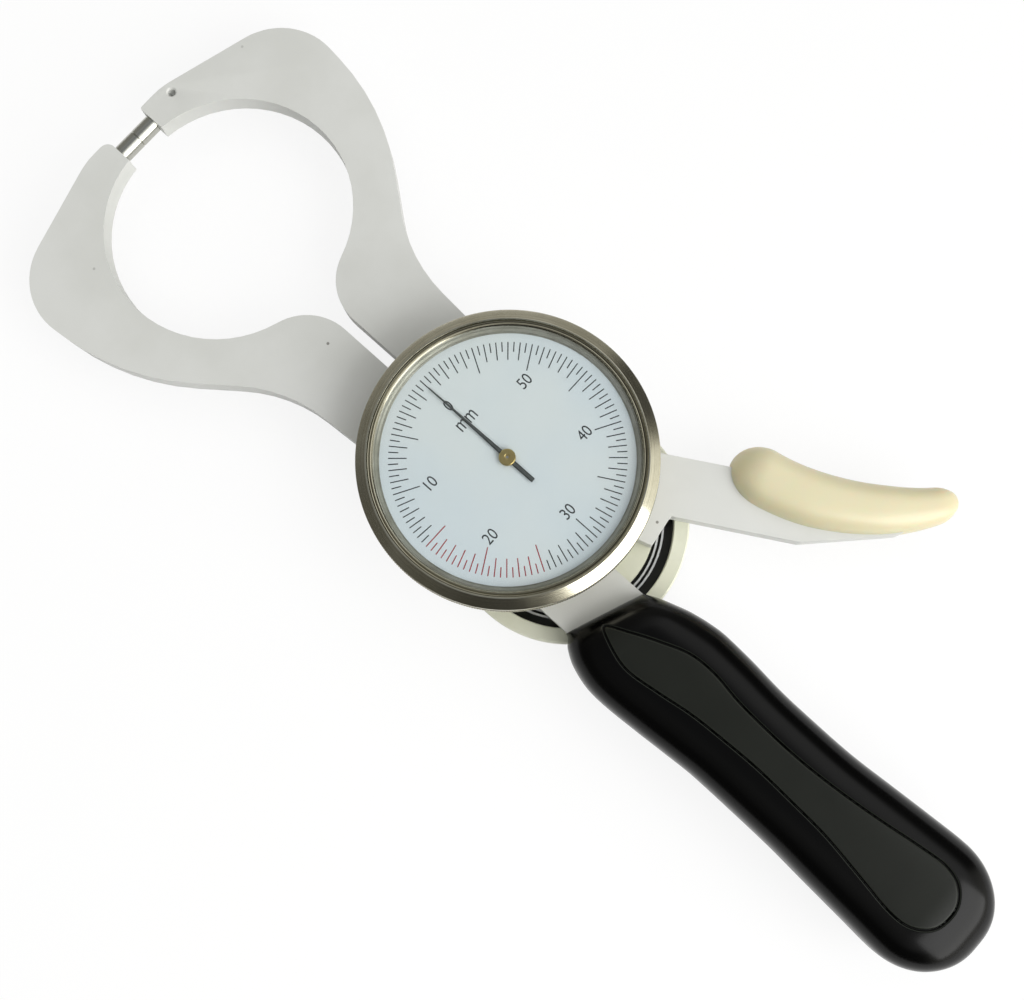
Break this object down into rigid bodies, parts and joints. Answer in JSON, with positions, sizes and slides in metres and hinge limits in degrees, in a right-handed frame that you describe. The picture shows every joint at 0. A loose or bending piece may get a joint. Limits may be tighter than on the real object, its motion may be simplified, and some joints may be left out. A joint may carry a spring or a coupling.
{
  "type": "dial skinfold caliper",
  "caption": "Spring-loaded caliper with curved jaw arms, round geared dial with a turning bezel, black grip and ivory squeeze lever, for measuring skin folds.",
  "frame": {"origin": "on the pivot axis, in the plane of the pressure knob's flat back", "axes": "+Y from the pivot towards the anvils, +X towards the moving arm and its lever, +Z out of the dial"},
  "size_m": [0.1227, 0.3005, 0.0303],
  "materials": {
    "grey_paint": "satin",
    "anvil_chrome": "polished",
    "nickel": "bright nickel plate",
    "steel": "satin",
    "spring_steel": "polished",
    "bronze": "satin",
    "brass": "satin",
    "black_plastic": "gloss with a satin panel",
    "ivory_plastic": "gloss",
    "clear_glass": "clear",
    "dial_paint": "satin print",
    "pointer_paint": "satin"
  },
  "bodies": {
    "frame": {"fixed_plate": "grey_paint", "fixed_anvil": "anvil_chrome", "pivot_bush": "bronze", "spring_drum": "nickel", "drum_screws": "steel", "friction_washer": "bronze", "dial_case": "nickel", "case_screws": "steel", "arbor_bush": "brass", "bridge_posts": "brass", "movement_bridge": "brass", "bridge_screws": "steel", "bezel_snap_ring": "steel", "handle_front": "black_plastic", "handle_back": "black_plastic", "handle_screws": "steel"},
    "moving_jaw": {"moving_plate": "grey_paint", "moving_anvil": "anvil_chrome", "pivot_shaft": "steel", "shaft_clip": "steel", "thrust_washer": "bronze", "gear_sector": "brass", "sector_nut": "steel", "lever_pad": "ivory_plastic", "pad_screws": "steel", "spring_pin": "steel", "main_spring": "spring_steel"},
    "bezel": {"bezel_ring": "nickel", "crystal": "clear_glass", "sloped_ring": "nickel", "dial_plate": "dial_paint"},
    "pointer_set": {"pointer_arbor": "steel", "pointer": "pointer_paint", "pointer_boss": "brass"},
    "pressure_set": {"spring_hub": "nickel", "pressure_knob": "nickel", "knob_screws": "steel"}
  },
  "joints": [
    {"name": "jaw_open", "type": "hinge", "parent": "frame", "child": "moving_jaw", "pos_m": [0, 0, 0], "axis": [0, 0, -1], "range_deg": [0, 22.22], "stiffness_Nm_per_rad": 0.25, "springref_deg": -63.03},
    {"name": "pointer_spin", "type": "hinge", "parent": "frame", "child": "pointer_set", "pos_m": [0, 0.01978, 0], "axis": [0, 0, 1], "range_deg": [0, 360]},
    {"name": "bezel_turn", "type": "hinge", "parent": "frame", "child": "bezel", "pos_m": [0, 0.01978, 0], "axis": [0, 0, 1], "continuous": true},
    {"name": "pressure_knob_turn", "type": "hinge", "parent": "frame", "child": "pressure_set", "pos_m": [0, 0, 0], "axis": [0, 0, 1], "range_deg": [-20, 20]}
  ],
  "couplings": [
    {"joint": "pointer_spin", "follows": "jaw_open", "ratio": 16.2}
  ]
}
